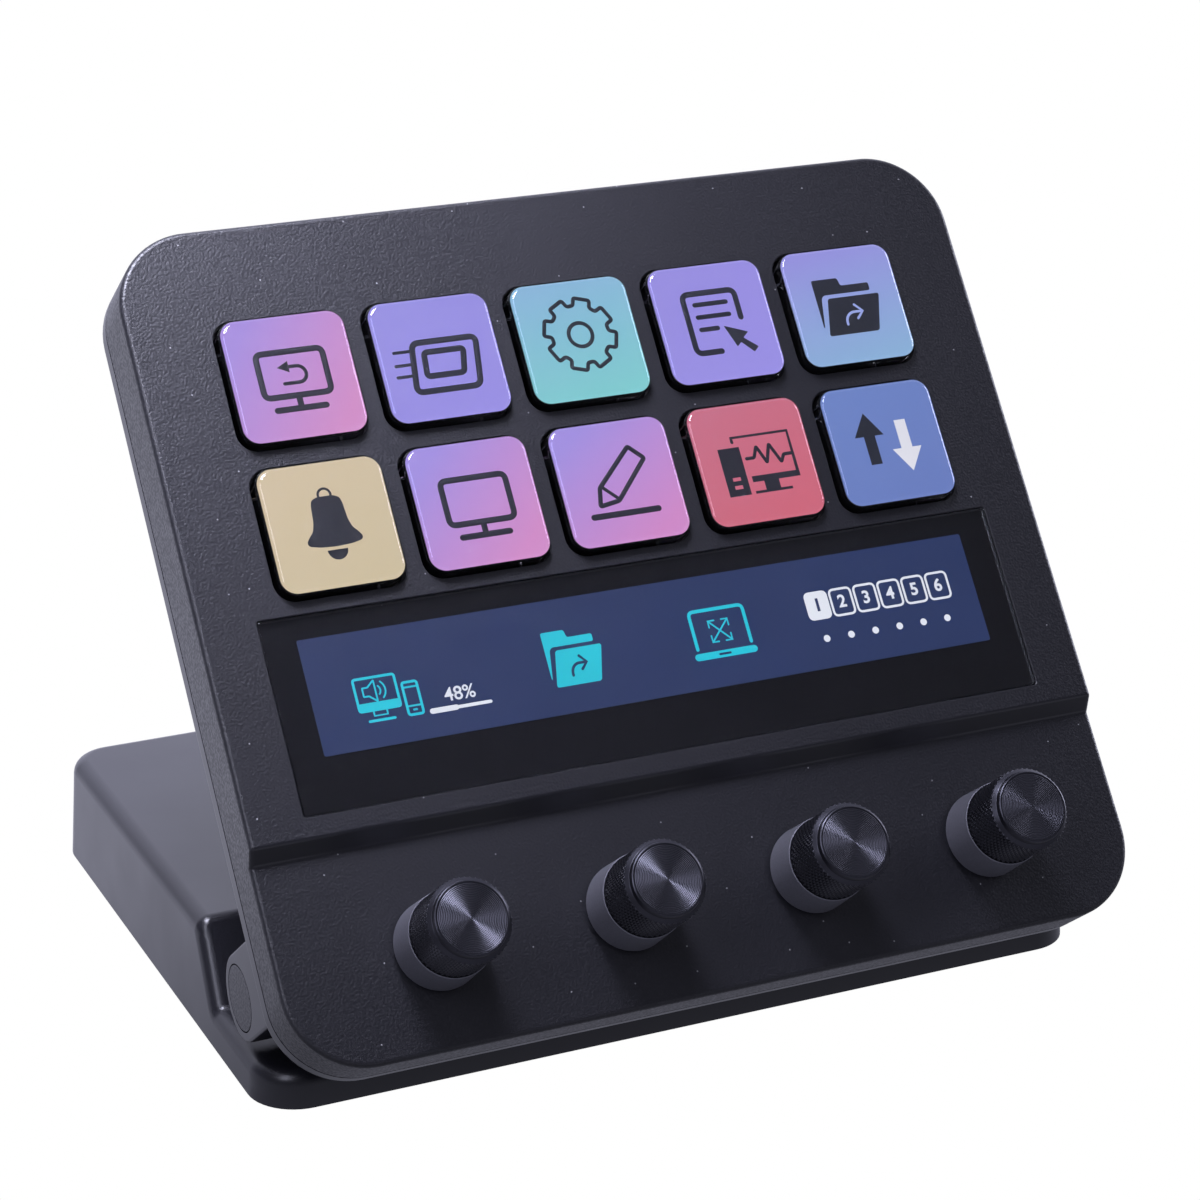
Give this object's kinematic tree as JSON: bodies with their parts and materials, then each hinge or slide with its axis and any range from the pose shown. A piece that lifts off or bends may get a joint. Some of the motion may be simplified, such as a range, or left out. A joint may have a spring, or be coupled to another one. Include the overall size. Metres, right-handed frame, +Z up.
{
  "type": "macro keypad with knobs",
  "caption": "Desk keypad tilting on a weighted stand, with clear display keys that press, a glass touch strip and knurled knobs that turn and push.",
  "frame": {"origin": "centre of the underside of the stand's anti-slip pad", "axes": "+X to the user's right, +Y away from the user, +Z up"},
  "size_m": [0.1358, 0.1264, 0.1142],
  "materials": {
    "stand_plastic": "satin black moulded ABS",
    "panel_plastic": "fine textured black moulded ABS",
    "silicone": "matt black silicone",
    "steel": "plain steel",
    "black_steel": "black zinc plated steel",
    "strip_glass": "polished, black printed border",
    "clear_acrylic": "polished clear acrylic",
    "display": "polished display glass in a steel bezel",
    "board": "matt black solder mask",
    "ribbon": "amber polyimide film",
    "encoder": "black moulded nylon",
    "knob": "black anodised, turned top and knurled grip"
  },
  "bodies": {
    "stand": {"stand_shell": "stand_plastic", "bottom_cover": "stand_plastic", "anti_slip_pad": "silicone", "ballast_plate": "steel", "stand_screws": "black_steel"},
    "panel": {"front_cover": "panel_plastic", "rear_cover": "panel_plastic", "strip_glass": "strip_glass", "key_membrane": "silicone", "key_board": "board", "display_panel": "display", "display_ribbon": "ribbon", "main_board": "board", "usb_socket": "steel", "socket_board": "board", "panel_screws": "black_steel", "hinge_pin_left": "steel", "hinge_cap_left": "panel_plastic", "friction_washers_left": "steel", "hinge_nut_left": "steel", "hinge_pin_right": "steel", "hinge_cap_right": "panel_plastic", "friction_washers_right": "steel", "hinge_nut_right": "steel", "encoder_1": "encoder", "encoder_2": "encoder", "encoder_3": "encoder", "encoder_4": "encoder"},
    "key_1_1": {"key_cap_1_1": "clear_acrylic"},
    "key_1_2": {"key_cap_1_2": "clear_acrylic"},
    "key_1_3": {"key_cap_1_3": "clear_acrylic"},
    "key_1_4": {"key_cap_1_4": "clear_acrylic"},
    "key_1_5": {"key_cap_1_5": "clear_acrylic"},
    "key_2_1": {"key_cap_2_1": "clear_acrylic"},
    "key_2_2": {"key_cap_2_2": "clear_acrylic"},
    "key_2_3": {"key_cap_2_3": "clear_acrylic"},
    "key_2_4": {"key_cap_2_4": "clear_acrylic"},
    "key_2_5": {"key_cap_2_5": "clear_acrylic"},
    "push_1": {"knob_plunger_1": "encoder"},
    "knob_1": {"knob_shaft_1": "steel", "knob_1": "knob"},
    "push_2": {"knob_plunger_2": "encoder"},
    "knob_2": {"knob_shaft_2": "steel", "knob_2": "knob"},
    "push_3": {"knob_plunger_3": "encoder"},
    "knob_3": {"knob_shaft_3": "steel", "knob_3": "knob"},
    "push_4": {"knob_plunger_4": "encoder"},
    "knob_4": {"knob_shaft_4": "steel", "knob_4": "knob"}
  },
  "joints": [
    {"name": "panel_tilt", "type": "hinge", "parent": "stand", "child": "panel", "pos_m": [0, -0.04, 0.0142], "axis": [1, 0, 0], "range_deg": [-52, 20]},
    {"name": "key_1_1_press", "type": "slide", "parent": "panel", "child": "key_1_1", "axis": [0, 0.788, -0.6157], "range_m": [0, 0.0008], "stiffness_N_per_m": 400, "springref_m": -0.0009},
    {"name": "key_1_2_press", "type": "slide", "parent": "panel", "child": "key_1_2", "axis": [0, 0.788, -0.6157], "range_m": [0, 0.0008], "stiffness_N_per_m": 400, "springref_m": -0.0009},
    {"name": "key_1_3_press", "type": "slide", "parent": "panel", "child": "key_1_3", "axis": [0, 0.788, -0.6157], "range_m": [0, 0.0008], "stiffness_N_per_m": 400, "springref_m": -0.0009},
    {"name": "key_1_4_press", "type": "slide", "parent": "panel", "child": "key_1_4", "axis": [0, 0.788, -0.6157], "range_m": [0, 0.0008], "stiffness_N_per_m": 400, "springref_m": -0.0009},
    {"name": "key_1_5_press", "type": "slide", "parent": "panel", "child": "key_1_5", "axis": [0, 0.788, -0.6157], "range_m": [0, 0.0008], "stiffness_N_per_m": 400, "springref_m": -0.0009},
    {"name": "key_2_1_press", "type": "slide", "parent": "panel", "child": "key_2_1", "axis": [0, 0.788, -0.6157], "range_m": [0, 0.0008], "stiffness_N_per_m": 400, "springref_m": -0.0009},
    {"name": "key_2_2_press", "type": "slide", "parent": "panel", "child": "key_2_2", "axis": [0, 0.788, -0.6157], "range_m": [0, 0.0008], "stiffness_N_per_m": 400, "springref_m": -0.0009},
    {"name": "key_2_3_press", "type": "slide", "parent": "panel", "child": "key_2_3", "axis": [0, 0.788, -0.6157], "range_m": [0, 0.0008], "stiffness_N_per_m": 400, "springref_m": -0.0009},
    {"name": "key_2_4_press", "type": "slide", "parent": "panel", "child": "key_2_4", "axis": [0, 0.788, -0.6157], "range_m": [0, 0.0008], "stiffness_N_per_m": 400, "springref_m": -0.0009},
    {"name": "key_2_5_press", "type": "slide", "parent": "panel", "child": "key_2_5", "axis": [0, 0.788, -0.6157], "range_m": [0, 0.0008], "stiffness_N_per_m": 400, "springref_m": -0.0009},
    {"name": "knob_1_push", "type": "slide", "parent": "panel", "child": "push_1", "axis": [0, 0.788, -0.6157], "range_m": [0, 0.0005], "stiffness_N_per_m": 4000, "springref_m": -0.0004},
    {"name": "knob_1_turn", "type": "hinge", "parent": "push_1", "child": "knob_1", "pos_m": [-0.04416, -0.05949, 0.02702], "axis": [0, -0.788, 0.6157], "continuous": true},
    {"name": "knob_2_push", "type": "slide", "parent": "panel", "child": "push_2", "axis": [0, 0.788, -0.6157], "range_m": [0, 0.0005], "stiffness_N_per_m": 4000, "springref_m": -0.0004},
    {"name": "knob_2_turn", "type": "hinge", "parent": "push_2", "child": "knob_2", "pos_m": [-0.01472, -0.05949, 0.02702], "axis": [0, -0.788, 0.6157], "continuous": true},
    {"name": "knob_3_push", "type": "slide", "parent": "panel", "child": "push_3", "axis": [0, 0.788, -0.6157], "range_m": [0, 0.0005], "stiffness_N_per_m": 4000, "springref_m": -0.0004},
    {"name": "knob_3_turn", "type": "hinge", "parent": "push_3", "child": "knob_3", "pos_m": [0.01472, -0.05949, 0.02702], "axis": [0, -0.788, 0.6157], "continuous": true},
    {"name": "knob_4_push", "type": "slide", "parent": "panel", "child": "push_4", "axis": [0, 0.788, -0.6157], "range_m": [0, 0.0005], "stiffness_N_per_m": 4000, "springref_m": -0.0004},
    {"name": "knob_4_turn", "type": "hinge", "parent": "push_4", "child": "knob_4", "pos_m": [0.04416, -0.05949, 0.02702], "axis": [0, -0.788, 0.6157], "continuous": true}
  ]
}
